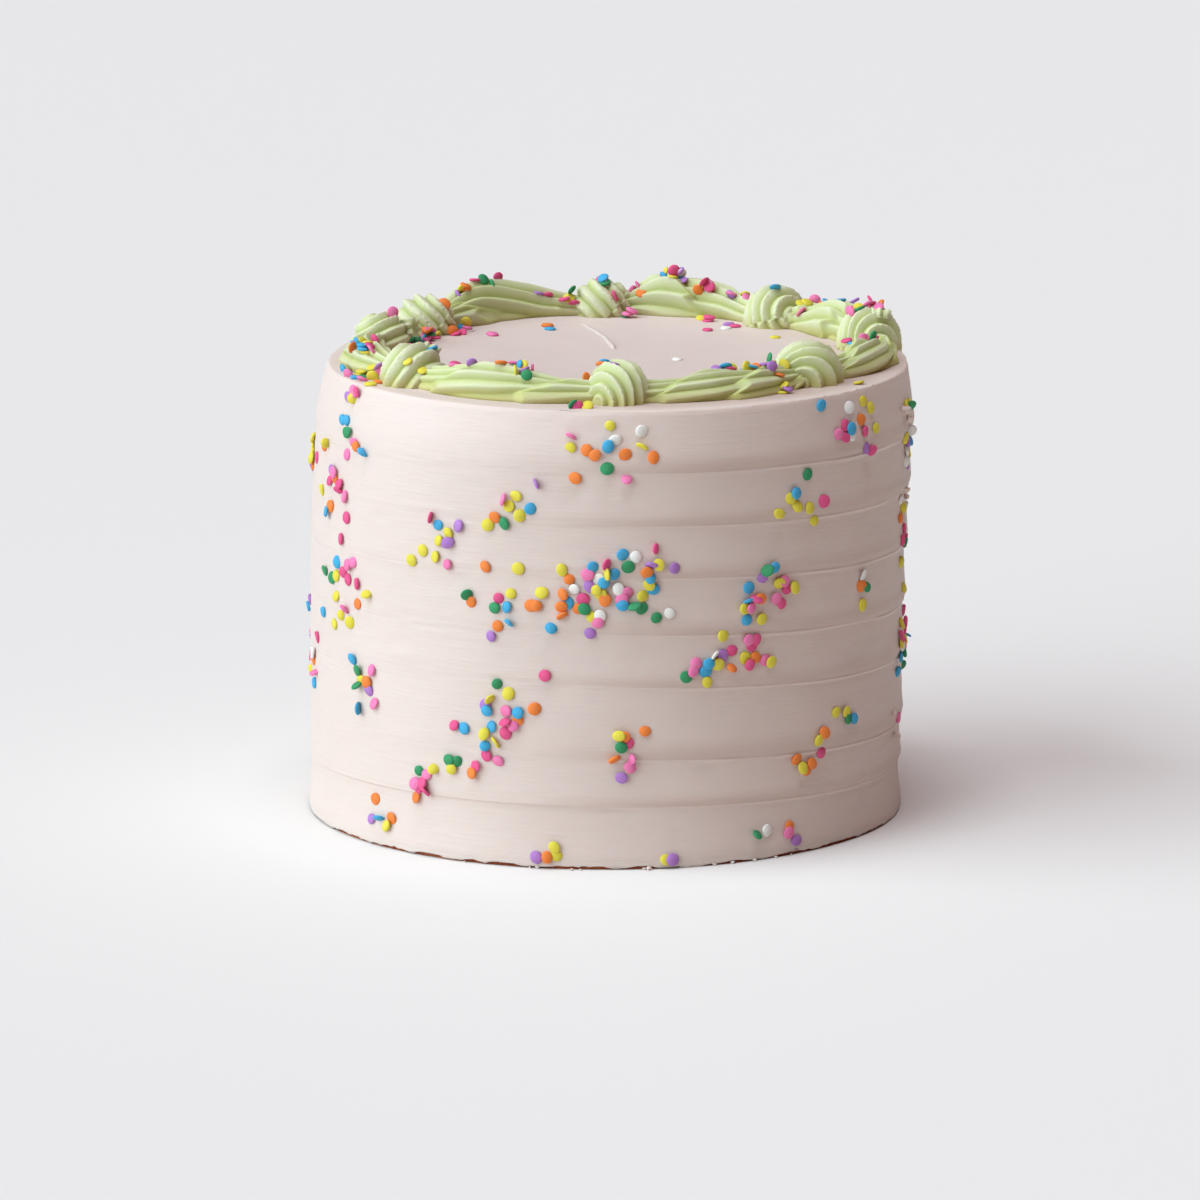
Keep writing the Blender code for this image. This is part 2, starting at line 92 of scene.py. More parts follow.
class Value:
    """A shader socket that takes part in Python arithmetic: each operator adds a Math node."""

    def __init__(self, finish, socket):
        self.finish = finish
        self.socket = socket

    def maths(self, operation, *values):
        return self.finish.add("ShaderNodeMath", {"operation": operation}, *values)

    def __add__(self, other):
        return self.maths("ADD", self, other)

    def __sub__(self, other):
        return self.maths("SUBTRACT", self, other)

    def __rsub__(self, other):
        return self.maths("SUBTRACT", other, self)

    def __mul__(self, other):
        return self.maths("MULTIPLY", self, other)

    def __pow__(self, other):
        return self.maths("POWER", self, other)

    __radd__ = __add__
    __rmul__ = __mul__


class Finish:
    """A named material round one Principled shader, and the nodes that feed it."""

    def __init__(self, name, **constants):
        self.material = bpy.data.materials.new(name)
        self.material.use_nodes = True
        self.tree = self.material.node_tree
        self.shader = self.tree.nodes["Principled BSDF"]
        for socket, value in constants.items():
            self.shader.inputs[socket.replace("_", " ")].default_value = value

    def add(self, kind, settings, *values, output=0, **named):
        """Adds a node of any kind: its settings first, then the values or links of its sockets."""
        node = self.tree.nodes.new(kind)
        for setting, value in settings.items():
            if setting == "stops":
                ramp = node.color_ramp
                for place, shown in value[2:]:
                    ramp.elements.new(place)
                in_order = sorted(ramp.elements, key=lambda stop: stop.position)
                for stop, (place, shown) in zip(in_order, sorted(value)):
                    stop.position = place
                    stop.color = shown
            else:
                setattr(node, setting, value)
        for socket, value in [*enumerate(values), *named.items()]:
            self.feed(node.inputs[socket if isinstance(socket, int) else socket.replace("_", " ")], value)
        return Value(self, node.outputs[output])

    def feed(self, socket, value):
        if isinstance(value, Value):
            self.tree.links.new(value.socket, socket)
        else:
            socket.default_value = value

    def place(self):
        return self.add("ShaderNodeTexCoord", {}, output="Object")

    def blend(self, share, first, second):
        """Mixes two colours by a share."""
        node = self.tree.nodes.new("ShaderNodeMix")
        node.data_type = "RGBA"
        self.feed(node.inputs["Factor"], share)
        self.feed(node.inputs[6], first)
        self.feed(node.inputs[7], second)
        return Value(self, node.outputs[2])

    def paint(self, colour):
        self.feed(self.shader.inputs["Base Color"], colour)

    def dull(self, roughness):
        self.feed(self.shader.inputs["Roughness"], roughness)

    def emboss(self, height, distance, strength=1.0):
        """Small relief, as a bump of a real depth."""
        bump = self.add("ShaderNodeBump", {}, Strength=strength, Distance=distance, Height=height)
        self.feed(self.shader.inputs["Normal"], bump)


def colour(red, green, blue):
    """A Base Color from the eight-bit values that a screen shows."""
    linear = [(part / 255 / 12.92) if part < 11 else ((part / 255 + 0.055) / 1.055) ** 2.4
              for part in (red, green, blue)]
    return (*linear, 1.0)


def show(name, form, finish, smooth=True):
    """A finished mesh becomes an object at the origin, with its place in its mesh."""
    for face in form.faces:
        face.smooth = smooth
    mesh = bpy.data.meshes.new(name)
    form.to_mesh(mesh)
    form.free()
    mesh.materials.append(finish.material)
    thing = bpy.data.objects.new(name, mesh)
    bpy.context.scene.collection.objects.link(thing)
    return thing


floor_finish = Finish("studio_floor", Roughness=0.8, Base_Color=colour(230, 225, 220))
floor_form = bmesh.new()
bmesh.ops.create_grid(floor_form, x_segments=2, y_segments=2, size=FLOOR_SIZE / 2)
show("studio_floor", floor_form, floor_finish)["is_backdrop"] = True

for number, (azimuth, elevation, spread, strength, tint) in enumerate(LAMPS, 1):
    lamp = bpy.data.lights.new(f"lamp_{number}", "SUN")
    lamp.energy = strength
    lamp.color = tint
    lamp.angle = math.radians(spread)
    stand = bpy.data.objects.new(f"lamp_{number}", lamp)
    stand.rotation_euler = (0.0, math.radians(90 - elevation), math.radians(azimuth))
    bpy.context.scene.collection.objects.link(stand)

sky = bpy.data.worlds.new("soft_light")
sky.use_nodes = True
sky.node_tree.nodes["Background"].inputs["Color"].default_value = (*SKY, 1.0)
bpy.context.scene.world = sky


# Sponge foot: the lowest sponge layer, baked reddish brown, which peeps out under the frosting as a crumbly
# line. It is a round of cake, its edge torn by the knife that levelled it.
FOOT_RADIUS, FOOT_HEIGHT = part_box("sponge_foot")[1][0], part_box("sponge_foot")[1][2]
FOOT_STEPS = 360
CRUMB_DEPTH = 0.35 * MM

foot_form = bmesh.new()
bmesh.ops.create_cone(foot_form, cap_ends=True, segments=FOOT_STEPS, radius1=FOOT_RADIUS, radius2=FOOT_RADIUS,
                      depth=FOOT_HEIGHT, matrix=Matrix.Translation((0, 0, FOOT_HEIGHT / 2)))
walls = [edge for edge in foot_form.edges if abs(edge.verts[0].co.z - edge.verts[1].co.z) > 0.5 * FOOT_HEIGHT]
bmesh.ops.subdivide_edges(foot_form, edges=walls, cuts=3, use_grid_fill=True)
for corner in foot_form.verts:
    if 0.1 * FOOT_HEIGHT < corner.co.z < 0.9 * FOOT_HEIGHT:
        crumb = noise.noise(corner.co * 700) + 0.6 * noise.noise(corner.co * 1900)
        corner.co.xy *= 1 - CRUMB_DEPTH * (1 + crumb) / 2 / FOOT_RADIUS

CRUMB_STOPS = [(0.30, colour(120, 48, 28)), (0.72, colour(214, 140, 96)), (0.50, colour(176, 88, 56))]
sponge = Finish("sponge_crumb", Roughness=0.95, Specular_IOR_Level=0.2, Subsurface_Weight=0.15,
                Subsurface_Scale=2.0 * MM)
crumb_grain = sponge.add("ShaderNodeTexNoise", {}, Vector=sponge.place(), Scale=900.0, Detail=4.0,
                         Roughness=0.7)
crumb_patch = sponge.add("ShaderNodeTexNoise", {}, Vector=sponge.place(), Scale=60.0, Detail=3.0)
sponge.paint(sponge.add("ShaderNodeValToRGB", {"stops": CRUMB_STOPS}, 0.6 * crumb_grain + 0.4 * crumb_patch))
sponge.emboss(crumb_grain, 0.8 * MM)
foot = show("sponge_crumb_foot", foot_form, sponge)
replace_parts(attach(foot, "root"), "sponge_foot")


# Frosted body: vanilla buttercream over the stacked layers, drawn round in eight bands with a wide spatula.
# Each band's lower edge is left as a low lip, and the bands run a little downhill to the right.
BASE_RADIUS = 101.6 * MM
CAKE_HEIGHT = 154.0 * MM
BAND_HEIGHTS = [h * MM for h in (20.5, 17.4, 17.2, 18.9, 17.6, 24.8, 16.3, 20.3)]
BAND_FLARE = 0.8 * MM
BAND_ROLL = 0.82
BULGE = 0.6 * MM
SHOULDER_TAPER = 3.4 * MM
BACK_RISE = 2.0 * MM
LEAN = 4.3 * MM
LEAN_POWER = 2.6
TILT = 9.0 * MM
TILT_HIGH_SIDE = math.radians(-110)
SKIRT_HEIGHT = 1.0 * MM
SKIRT_THICKNESS = 0.8 * MM
GAP = 0.3 * MM
BODY_STEPS = 360
ROWS_PER_BAND = (0.0, 0.012, 0.03, 0.06, 0.1, 0.16, 0.23, 0.31, 0.39, 0.47, 0.55, 0.63, 0.7, 0.77, 0.83,
                 0.88, 0.92, 0.95, 0.975, 0.99)
TOP_RINGS = 46
FLAT_RADIUS = 0.5 * BASE_RADIUS
RIM_ROUND = 1.0 * MM
LIP_HEIGHT = 0.5 * MM
LIP_WIDTH = 0.45 * MM
LIP_WANDER = 0.5 * MM
LIP_SHARE, LIP_BREAKS, LEAST_LIP = 0.75, 0.6, 0.15
# The bands are wiped nearly flat round this azimuth, down to a share of their crispness and to one even flare
WIPED_AZIMUTH = math.radians(-150)
LEAST_CRISP = 0.12
WIPED_FLARE = -0.3
# Dents and wiped patches: azimuth in degrees, then height, half-width, half-height and depth in millimetres
DENTS = [
    (-70, 34.5, 4.0, 2.4, 0.55), (-88, 20, 7.0, 1.0, 0.40), (-99, 61, 5.0, 3.0, 0.45),
    (-97, 127, 4.0, 3.2, 0.40), (-103, 22, 6.0, 0.9, -0.30), (-35, 69, 6.0, 5.0, 0.55),
    (-30, 20, 3.0, 7.0, 0.45), (-62, 112, 9.0, 2.0, 0.35), (-120, 96, 8.0, 2.0, 0.35),
    (-45, 88, 7.0, 1.6, -0.35), (-78, 75, 9.0, 1.2, 0.30), (-132, 68, 8.0, 1.5, -0.30),
]
# What the spatula leaves: fine and coarse drag lines, a slow swell, and on the right nicks and a torn rim.
# The skirt's edge is ragged too, but stays above the surface that the cake stands on.
FINE_DRAG = 0.09 * MM
COARSE_DRAG = 0.12 * MM
SWELL = 0.55 * MM
NICK = 0.9 * MM
RIM_REACH = 2.2 * MM
RIM_WAVE = 0.35 * MM
RIM_RAGS = 1.3 * MM
SKIRT_RAGS = (1.3 * MM, 0.7 * MM)
LOWEST = 0.1 * MM
TOP_SWIPE = 0.10 * MM
TOP_WAVE = 0.25 * MM
# Painted shade: the frosting's colour is painted darker and browner on the right, away from the lamps, in the
# fold over each lip, and on the top round the border where the border shades it.
RIGHT_SHADE = 0.15
FOLD_SHADE = (0.04, 0.75)
FOLD_START, FOLD_END = 0.62, 0.97
BORDER_DISTANCE = 84.0 * MM
BORDER_REACH = 15.0 * MM
PAINTED_SHADE_TONE = colour(186, 160, 146)


def lean(height):
    """How far the cake leans towards +X at a height."""
    return LEAN * (max(height, 0.0) / CAKE_HEIGHT) ** LEAN_POWER


def back_rise(depth):
    """How far the top stands above its front half at a depth behind the middle."""
    return BACK_RISE * max(0.0, depth) / BASE_RADIUS


def band_tilt(height, azimuth):
    """The bands run a little downhill round the cake, most at mid height."""
    depth = max(0.0, min(1.0, 1 - height / CAKE_HEIGHT))
    swing = 1 - math.cos(azimuth - TILT_HIGH_SIDE)
    return -TILT * math.sin(math.pi * depth ** 1.3) * swing / (1 + swing ** 2 / 4)


def band_at(height):
    """Which band a height is in, and the share of that band above it."""
    top = CAKE_HEIGHT
    for index, band in enumerate(BAND_HEIGHTS):
        down = (top - height) / band
        if down <= 1.0 or index == len(BAND_HEIGHTS) - 1:
            return index, max(0.0, min(1.0, down))
        top -= band


def band_flare(index, down):
    """How a band leans: -1 at its upper edge, out to its roll, then back in above the next band."""
    flare = 2 * min(down, BAND_ROLL) ** 2 - 1
    if index < len(BAND_HEIGHTS) - 1:
        flare -= (flare + 1) * max(0.0, (down - BAND_ROLL) / (1 - BAND_ROLL)) ** 2
    return flare


def side_radius(height):
    """Radius at a height before the bands tilt: each band flares towards a lip at its lower edge."""
    index, down = band_at(height)
    radius = BASE_RADIUS + BULGE * height / CAKE_HEIGHT + BAND_FLARE * band_flare(index, down)
    if index == 0:
        radius -= SHOULDER_TAPER * (1 - down) ** 1.5 - BAND_FLARE * (1 - down)
    return radius


def ease(value, start, end):
    """A smooth step from 0 at start to 1 at end."""
    share = max(0.0, min(1.0, (value - start) / (end - start)))
    return share * share * (3 - 2 * share)


band_edges = [CAKE_HEIGHT - sum(BAND_HEIGHTS[:count]) for count in range(1, len(BAND_HEIGHTS))]


def crispness(azimuth):
    """How crisp the bands are: 1 on most of the side, low where the spatula wiped them nearly flat."""
    return LEAST_CRISP + (1 - LEAST_CRISP) * ease(-math.cos(azimuth - WIPED_AZIMUTH), -0.85, -0.15)


def lip(height, azimuth, around):
    """The thin raised line along a band's lower edge."""
    strongest = 0.0
    for number, edge in enumerate(band_edges):
        wander = LIP_WANDER * noise.noise(around * 2.6 + Vector((0, 0, 7.0 * number)))
        broken = LIP_SHARE + LIP_BREAKS * noise.noise(around * 9.0 + Vector((0, 0, 3.0 * number + 50)))
        apart = (height - edge - wander) / LIP_WIDTH
        strongest = max(strongest, math.exp(-apart * apart) * max(LEAST_LIP, min(1.0, broken)))
    return LIP_HEIGHT * strongest * crispness(azimuth)


def dents(height, azimuth):
    """How far the knocks and wipes in the frosting lower it at a place on the side."""
    depth = 0.0
    for place, level, half_width, half_height, most in DENTS:
        across = (azimuth - math.radians(place)) * BASE_RADIUS / (half_width * MM)
        rise = (height - level * MM) / (half_height * MM)
        depth += most * MM * math.exp(-across * across - rise * rise)
    return depth


body_form = bmesh.new()
painted_shade_layer = body_form.verts.layers.float.new("shade")
rim_radius = side_radius(CAKE_HEIGHT)
profile = [((rim_radius - RIM_ROUND) * ring / TOP_RINGS, CAKE_HEIGHT) for ring in range(TOP_RINGS)]
profile += [(rim_radius - RIM_ROUND * (1 - math.sin(math.radians(turn))),
             CAKE_HEIGHT - RIM_ROUND * (1 - math.cos(math.radians(turn)))) for turn in range(0, 90, 15)]
top = CAKE_HEIGHT
for band in BAND_HEIGHTS:
    profile += [(side_radius(top - down * band), top - down * band) for down in ROWS_PER_BAND
                if SKIRT_HEIGHT < top - down * band < CAKE_HEIGHT - RIM_ROUND]
    top -= band
inner_radius = side_radius(SKIRT_HEIGHT) - SKIRT_THICKNESS
profile += [(side_radius(SKIRT_HEIGHT), SKIRT_HEIGHT), (inner_radius, SKIRT_HEIGHT),
            (inner_radius, FOOT_HEIGHT + GAP), (0.0, FOOT_HEIGHT + GAP)]
corners = [body_form.verts.new((radius, 0.0, height)) for radius, height in profile]
edges = [body_form.edges.new(pair) for pair in zip(corners, corners[1:])]
bmesh.ops.spin(body_form, geom=corners + edges, cent=(0, 0, 0), axis=(0, 0, 1), angle=2 * math.pi,
               steps=BODY_STEPS, use_merge=True)
bmesh.ops.remove_doubles(body_form, verts=body_form.verts, dist=0.02 * MM)
bmesh.ops.recalc_face_normals(body_form, faces=body_form.faces)

for corner in body_form.verts:
    radius = math.hypot(corner.co.x, corner.co.y)
    height = corner.co.z
    if height < FOOT_HEIGHT + 2 * GAP and radius < inner_radius + 0.1 * MM:
        continue
    azimuth = math.atan2(corner.co.y, corner.co.x)
    around = Vector((math.cos(azimuth), math.sin(azimuth), 0.0))
    shaded = ease(math.cos(azimuth + math.radians(35)), -0.1, 0.8)
    if radius > rim_radius - RIM_ROUND and height < CAKE_HEIGHT - 0.2 * RIM_ROUND:
        drag = FINE_DRAG * noise.noise(around * 3.0 + Vector((0, 0, height * 900)))
        drag += COARSE_DRAG * noise.noise(around * 14.0 + Vector((0, 0, height * 420)))
        swell = SWELL * noise.noise(around * 2.2 + Vector((5.0, 0, height * 26)))
        near_rim = ease(height, CAKE_HEIGHT - RIM_REACH, CAKE_HEIGHT)
        rough = near_rim * ease(math.cos(azimuth + math.radians(8)), 0.2, 0.95)
        nick = rough * NICK * max(0.0, noise.noise(around * 60 + Vector((0, 0, height * 300))))
        grown = drag + swell + lip(height, azimuth, around) + nick - dents(height, azimuth)
        index, down = band_at(height)
        wiped = (1 - crispness(azimuth)) * (index < len(BAND_HEIGHTS) - 1)
        if index == 0:
            wiped *= ease(down, 0.1, 0.7)
        corner.co.xy -= around.xy * BAND_FLARE * wiped * (band_flare(index, down) - WIPED_FLARE)
        # Painted shade: the fold above each lip is painted darker, most on the side away from the lamps, and
        # the whole right side gets a little painted shade too.
        fold = ease(down, FOLD_START, FOLD_END) * (index < len(BAND_HEIGHTS) - 1)
        fold_shade = FOLD_SHADE[0] + FOLD_SHADE[1] * shaded
        corner[painted_shade_layer] = RIGHT_SHADE * shaded + fold_shade * fold * crispness(azimuth)
        corner.co.xy += around.xy * grown
        if height > CAKE_HEIGHT - RIM_ROUND:
            corner.co.z += RIM_WAVE * noise.noise(around * 7)
            corner.co.z += rough * RIM_RAGS * abs(noise.noise(around * 45))
        if height < SKIRT_HEIGHT + 0.1 * MM:
            corner.co.z += SKIRT_RAGS[0] * noise.noise(around * 11) + SKIRT_RAGS[1] * noise.noise(around * 47)
    else:
        swipe = noise.noise(Vector((corner.co.x * 18, corner.co.y * 120, 3.0)))
        corner.co.z += TOP_SWIPE * swipe + TOP_WAVE * noise.noise(corner.co * 22)
        # Painted shadow: the top is painted darker in a ring round the border, most on the side away from the
        # lamps.
        near_border = ease(BORDER_REACH - abs(radius - BORDER_DISTANCE), 0.0, 0.6 * BORDER_REACH)
        corner[painted_shade_layer] = (RIGHT_SHADE + (1 - RIGHT_SHADE) * shaded) * near_border
    if radius > FLAT_RADIUS:
        corner.co.z += band_tilt(height, azimuth)
    corner.co.z = max(corner.co.z, LOWEST)
    corner.co.z += back_rise(corner.co.y) * max(0.0, 1 - (CAKE_HEIGHT - height) / BAND_HEIGHTS[0])
    corner.co.x += lean(height)

buttercream = Finish("vanilla_buttercream", Roughness=0.52, Specular_IOR_Level=0.35, Subsurface_Weight=0.25,
                     Subsurface_Radius=(1.0, 0.55, 0.40), Subsurface_Scale=3.0 * MM)
spot = buttercream.place()
stretched = buttercream.add("ShaderNodeVectorMath", {"operation": "MULTIPLY"}, spot, (1.0, 1.0, 14.0))
drag_lines = buttercream.add("ShaderNodeTexNoise", {}, Vector=stretched, Scale=70.0, Detail=5.0,
                             Roughness=0.62)
mottle = buttercream.add("ShaderNodeTexNoise", {}, Vector=spot, Scale=26.0, Detail=4.0)
grain = buttercream.add("ShaderNodeTexNoise", {}, Vector=spot, Scale=1400.0, Detail=2.0)
# Painted shade: where the attribute read here is high, the cream colour is blended towards a darker brown
# tone.
shade = buttercream.add("ShaderNodeAttribute", {"attribute_name": "shade"}, output="Fac")
uneven_tone = 0.55 * mottle + 0.45 * drag_lines
cream_tone = buttercream.blend(uneven_tone, colour(214, 195, 186), colour(223, 205, 196))
buttercream.paint(buttercream.blend(0.55 * shade, cream_tone, PAINTED_SHADE_TONE))
buttercream.dull(0.44 + 0.2 * mottle)
buttercream.emboss(drag_lines + 0.22 * grain, 0.35 * MM, 0.45)
body = show("frosted_bands", body_form, buttercream)
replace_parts(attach(body, "root"), "frosted_cake")


# Cream crumbs: bits of buttercream that dropped to the foot of the cake as it was smoothed, and a few flecks
# that stick to the side. They are small soft lumps of the same cream.
CRUMBS = 15
CRUMB_SPAN = (-118, -52)
CRUMB_SIZES = (0.35 * MM, 0.95 * MM)
CRUMB_UNEVEN = 0.55
CRUMB_SQUASH = 0.6
CRUMB_SEED = 31
# Flecks on the side: azimuth in degrees, height and radius in millimetres
FLECKS = [(-17, 142, 2.3), (-14, 138, 1.6), (-12, 113, 1.9), (-10, 110, 1.3), (-16, 37, 1.8), (-13, 28, 1.7)]


def add_crumb(form, place, radius, number):
    """A soft uneven lump."""
    made = bmesh.ops.create_icosphere(form, subdivisions=3, radius=radius)
    for corner in made["verts"]:
        out = corner.co.normalized()
        corner.co *= 1 + CRUMB_UNEVEN * noise.noise(out * 1.4 + Vector((number * 7.0, 0, 0)))
        corner.co.z *= CRUMB_SQUASH
        corner.co += place
        corner.co.z = max(corner.co.z, 0.0)


crumb_form = bmesh.new()
draw = random.Random(CRUMB_SEED)
for number in range(CRUMBS):
    azimuth = math.radians(draw.uniform(*CRUMB_SPAN))
    size = draw.uniform(*CRUMB_SIZES)
    reach = side_radius(SKIRT_HEIGHT) + draw.uniform(-0.3, 1.0) * MM
    place = Vector((reach * math.cos(azimuth), reach * math.sin(azimuth), 0.62 * size))
    add_crumb(crumb_form, place, size, number)
for number, (azimuth, height, size) in enumerate(FLECKS, CRUMBS):
    azimuth, height = math.radians(azimuth), height * MM
    reach = side_radius(height) + 0.25 * size * MM
    place = Vector((reach * math.cos(azimuth) + lean(height), reach * math.sin(azimuth), height))
    add_crumb(crumb_form, place, size * MM, number)
crumbs = show("cream_crumbs", crumb_form, buttercream)
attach(crumbs, "root")


# Lift mark: where the spatula left the top, it drew up a thin fin of buttercream with a pale slope beside it.
# It is the same cream, laid on the top as a long low wedge.
LIFT_MARK = {"start": (-13 * MM, 68 * MM), "end": (-1 * MM, 18 * MM), "width": 2.4 * MM, "height": 0.9 * MM}
fin_start = Vector((*LIFT_MARK["start"], 0.0))
fin_end = Vector((*LIFT_MARK["end"], 0.0))
fin_length = (fin_end - fin_start).length
fin_form = bmesh.new()
bmesh.ops.create_cube(fin_form, size=1.0)
long_edges = [edge for edge in fin_form.edges if abs(edge.verts[0].co.x - edge.verts[1].co.x) > 0.5]
bmesh.ops.subdivide_edges(fin_form, edges=long_edges, cuts=40, use_grid_fill=True)
for corner in fin_form.verts:
    along = corner.co.x + 0.5
    swell = 0.35 + 0.65 * along ** 1.5
    wobble = 1.8 * MM * math.sin(math.pi * along) + 0.3 * MM * noise.noise(Vector((along * 6, 0, 0)))
    if corner.co.z > 0:
        across = (0.15 if corner.co.y > 0 else -0.05) * LIFT_MARK["width"]
        corner.co.z = LIFT_MARK["height"] * swell * ease(along, 0.0, 0.1) * ease(1 - along, 0.0, 0.08)
    else:
        across = (0.3 if corner.co.y > 0 else -0.9 * along ** 2 - 0.3) * LIFT_MARK["width"]
        corner.co.z = -1.0 * MM
    corner.co.y = across + wobble
    corner.co.x = (along - 0.5) * fin_length
bmesh.ops.recalc_face_normals(fin_form, faces=fin_form.faces)
turned = Matrix.Rotation(math.atan2(fin_end.y - fin_start.y, fin_end.x - fin_start.x), 4, "Z")
middle = (fin_start + fin_end) / 2 + Vector((LEAN, 0.0, CAKE_HEIGHT))
bmesh.ops.transform(fin_form, matrix=Matrix.Translation(middle) @ turned, verts=fin_form.verts)
for corner in fin_form.verts:
    corner.co.z += back_rise(corner.co.y)
fin = show("spatula_lift_mark", fin_form, buttercream)
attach(fin, "root")


# Swirls: green buttercream squeezed from a star nozzle, curled over as the nozzle turns.
# The star's points leave thin ridges that wind over each mound, with deep soft grooves between them.
# Azimuth in degrees, distance from the top's centre, radius, height
SWIRLS = [
    (-146, 82.5 * MM, 11.4 * MM, 13.6 * MM), (-90, 80 * MM, 10.8 * MM, 13.8 * MM),
    (-34.5, 77 * MM, 12.2 * MM, 13.8 * MM), (14, 89 * MM, 11.4 * MM, 14.6 * MM),
    (50, 86 * MM, 11.4 * MM, 13.6 * MM), (93.5, 88 * MM, 11.0 * MM, 12.2 * MM),
    (142, 85 * MM, 11.4 * MM, 12.8 * MM), (163, 85 * MM, 10.4 * MM, 11.6 * MM),
]
# How each was curled: heading and rise in degrees of the axis that its ridges wind about, ridges from pole to
# pole, curl in ridges a turn, how much closer they crowd on the left than on the right, roundness of a crest
CURLS = [
    (-30, -34, 7, 0.0, 0.0, 1.5), (-132, 2, 9, 0.2, 0.0, 0.9),
    (-103, 3, 10, 0.5, 0.35, 0.9), (-72, 16, 9, 0.6, 0.2, 1.0),
    (-58, 22, 8, 0.5, 0.0, 1.2), (12, 42, 7, 0.2, 0.0, 1.5),
    (14, 44, 8, 0.2, 0.0, 1.6), (-25, -62, 8, 0.0, 0.0, 1.2),
]
RIDGE_DEPTH = 0.14
CREST_SHARE = 0.62
POLE_CREST = 0.6
POLE_SPREAD = 0.35
DOME_POWER = 2.3
SWIRL_ROLLS = 176
SWIRL_ROWS = 132
UNEVEN_TURNS = 0.10
FRILL = 0.03
# How far the piped cream settles into the frosting under it
SETTLED = 0.5 * MM
# Where the nozzle was pulled away, by swirl: azimuth, distance and height above the top in millimetres, then
# the heading and rise of the torn end in degrees, its radius and its length
TORN_ENDS = {
    1: (-145.5, 76, 10.4, 35, 60, 3.3, 3.2),
    4: (11, 92, 12.2, 70, 72, 3.8, 2.6),
    8: (160, 76.5, 6.2, -30, 12, 3.6, 5.0),
}
TORN_POINTS = 6
TORN_ROUNDNESS = 1.0
TORN_TAPER = 0.85
TORN_GROOVE = 0.66
TORN_HEIGHT = 0.8 * MM


def star_ridge(turns, roundness):
    """Height of a star nozzle's ridge, from 0 in a groove to 1 on the crest; turns counts ridges."""
    share = turns % 1.0
    climb = share / CREST_SHARE if share < CREST_SHARE else (1 - share) / (1 - CREST_SHARE)
    return 1 - max(0.0, 1 - climb) ** roundness


def direction(heading, rise):
    """A unit vector from two angles in degrees."""
    heading, rise = math.radians(heading), math.radians(rise)
    return Vector((math.cos(heading) * math.cos(rise), math.sin(heading) * math.cos(rise), math.sin(rise)))


def over_top(azimuth, distance, height):
    """A point above the cake's top, its azimuth in degrees."""
    angle = math.radians(azimuth)
    depth = distance * math.sin(angle)
    return Vector((distance * math.cos(angle) + LEAN, depth, CAKE_HEIGHT + back_rise(depth) + height))


def add_torn_end(form, crest_layer, place, facing, radius, length):
    """A short star-shaped stub whose points stand up round a hollow."""
    made = bmesh.ops.create_cone(form, cap_ends=True, cap_tris=True, segments=8 * TORN_POINTS,
                                 radius1=TORN_TAPER * radius, radius2=radius, depth=length)
    stand = facing.to_track_quat("Z", "Y").to_matrix()
    for corner in made["verts"]:
        turns = TORN_POINTS * math.atan2(corner.co.y, corner.co.x) / (2 * math.pi)
        crest = star_ridge(turns, TORN_ROUNDNESS)
        outer = math.hypot(corner.co.x, corner.co.y) > 0.1 * radius
        corner.co.xy *= TORN_GROOVE + 0.34 * crest
        if corner.co.z > 0:
            corner.co.z += TORN_HEIGHT * crest if outer else -TORN_HEIGHT
        # Painted shade: the hollow inside a torn end gets a low crest value, so it is painted dark like a
        # groove.
        corner[crest_layer] = 0.35 + 0.65 * crest if outer else 0.1
        corner.co = place + stand @ corner.co


def make_swirl(number):
    """A dome whose ridges wind about a lying axis; the crest attribute is 1 on a ridge and 0 in a groove."""
    azimuth, distance, radius, height = SWIRLS[number - 1]
    heading, rise, ridges, curl, crowding, roundness = CURLS[number - 1]
    turn = direction(heading, rise).to_track_quat("Z", "Y").to_matrix()
    centre = over_top(azimuth, distance, GAP)
    lift = back_rise(centre.y)
    form = bmesh.new()
    bmesh.ops.create_uvsphere(form, u_segments=SWIRL_ROLLS, v_segments=SWIRL_ROWS, radius=1.0)
    crest_layer = form.verts.layers.float.new("crest")
    for corner in form.verts:
        out = turn @ corner.co
        polar = math.acos(max(-1.0, min(1.0, corner.co.z)))
        roll = math.atan2(corner.co.y, corner.co.x) / (2 * math.pi)
        uneven = UNEVEN_TURNS * noise.noise(out * 1.7 + Vector((number * 5.0, 0, 0)))
        turns = ridges * polar / math.pi * (1 - crowding * out.x) + curl * roll + uneven
        crest = star_ridge(turns, roundness)
        crest = POLE_CREST + (crest - POLE_CREST) * ease(math.sin(polar), 0.0, POLE_SPREAD)
        bulk = (math.hypot(out.x, out.y) / radius) ** DOME_POWER + (abs(out.z) / height) ** DOME_POWER
        frill = FRILL * crest ** 4 * noise.noise(out * 14 + Vector((0, number * 3.0, 0)))
        corner[crest_layer] = crest
        corner.co = centre + out * (1 - RIDGE_DEPTH * (1 - crest) + frill) / bulk ** (1 / DOME_POWER)
        corner.co.z += back_rise(corner.co.y) - lift
    if number in TORN_ENDS:
        azimuth, distance, height, heading, rise, radius, length = TORN_ENDS[number]
        place = over_top(azimuth, distance * MM, height * MM)
        add_torn_end(form, crest_layer, place, direction(heading, rise), radius * MM, length * MM)
    whole = form.verts[:] + form.edges[:] + form.faces[:]
    cut = bmesh.ops.bisect_plane(form, geom=whole, plane_co=(0, 0, CAKE_HEIGHT - SETTLED),
                                 plane_no=(0, 0, 1), clear_inner=True)
    rim = [part for part in cut["geom_cut"] if isinstance(part, bmesh.types.BMEdge)]
    bmesh.ops.edgeloop_fill(form, edges=rim)
    bmesh.ops.recalc_face_normals(form, faces=form.faces)
    return form
